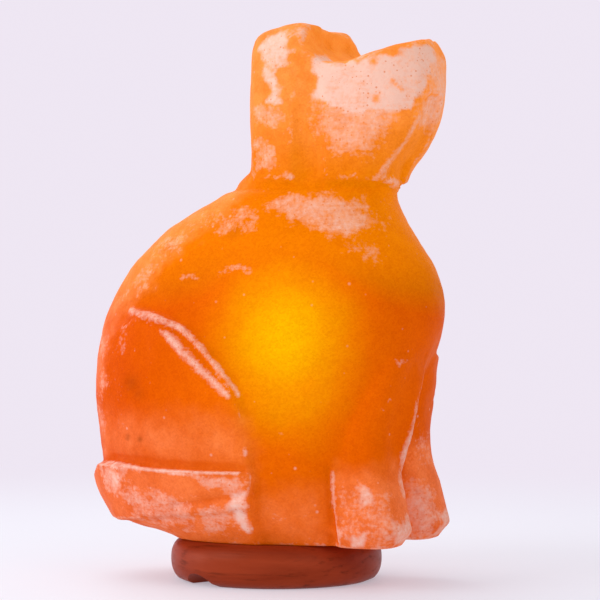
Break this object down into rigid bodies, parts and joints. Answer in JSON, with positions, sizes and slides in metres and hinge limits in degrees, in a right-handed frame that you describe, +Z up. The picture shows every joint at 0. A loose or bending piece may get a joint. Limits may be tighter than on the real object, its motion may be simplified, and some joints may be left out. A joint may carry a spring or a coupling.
{
  "type": "salt crystal lamp",
  "caption": "Carved rock-salt lamp in the form of a seated cat on a round wooden disc, with a pull-out spring-clip lamp holder and screw-in bulb inside.",
  "frame": {"origin": "on the table plane, at the middle of the wooden disc's flat underside, which is also the axis of the lamp holder", "axes": "+Z up; +X the way the cat's body faces; +Y its left side, which is also the way its turned head looks"},
  "size_m": [0.1515, 0.0967, 0.226],
  "materials": {
    "rock_salt": "hand-carved pink-orange rock salt, translucent, satin, with paler frosted edges",
    "turned_wood": "reddish-brown stained and varnished turned wood",
    "zinc_steel": "zinc-plated",
    "grey_nylon": "matt moulded nylon",
    "black_phenolic": "moulded, lightly polished",
    "white_ceramic": "glazed",
    "brass": "pressed, slightly dulled",
    "spring_steel": "bright spring strip",
    "solder": "solder",
    "black_glass": "black vitrite",
    "nickel_brass": "nickel-plated brass",
    "clear_glass": "clear, lit from within",
    "stem_glass": "clear pressed glass",
    "nickel_wire": "drawn wire",
    "hot_filament": "glowing tungsten coil"
  },
  "bodies": {
    "lamp_body": {"salt_crystal": "rock_salt", "wooden_base": "turned_wood", "base_screws": "zinc_steel", "screw_plugs": "grey_nylon"},
    "holder": {"holder_cover": "black_phenolic", "holder_shell": "black_phenolic", "holder_insulator": "white_ceramic", "holder_screw_shell": "brass", "holder_centre_contact": "brass", "holder_terminals": "brass", "terminal_screws": "zinc_steel", "spring_clip": "spring_steel"},
    "bulb_slide": {"bulb_contact": "solder"},
    "bulb": {"bulb_cap_insulator": "black_glass", "bulb_cap": "nickel_brass", "bulb_glass": "clear_glass", "bulb_stem": "stem_glass", "bulb_lead_wires": "nickel_wire", "bulb_filament": "hot_filament"}
  },
  "joints": [
    {"name": "holder_pull", "type": "slide", "parent": "lamp_body", "child": "holder", "axis": [0, 0, -1], "range_m": [0, 0.112]},
    {"name": "bulb_rise", "type": "slide", "parent": "holder", "child": "bulb_slide", "axis": [0, 0, 1], "range_m": [0, 0.0113]},
    {"name": "bulb_turn", "type": "hinge", "parent": "bulb_slide", "child": "bulb", "pos_m": [0, 0, 0.06], "axis": [0, 0, 1], "range_deg": [0, 1440]}
  ],
  "couplings": [
    {"joint": "bulb_rise", "follows": "bulb_turn", "m_per_rad": 0.00044882}
  ]
}
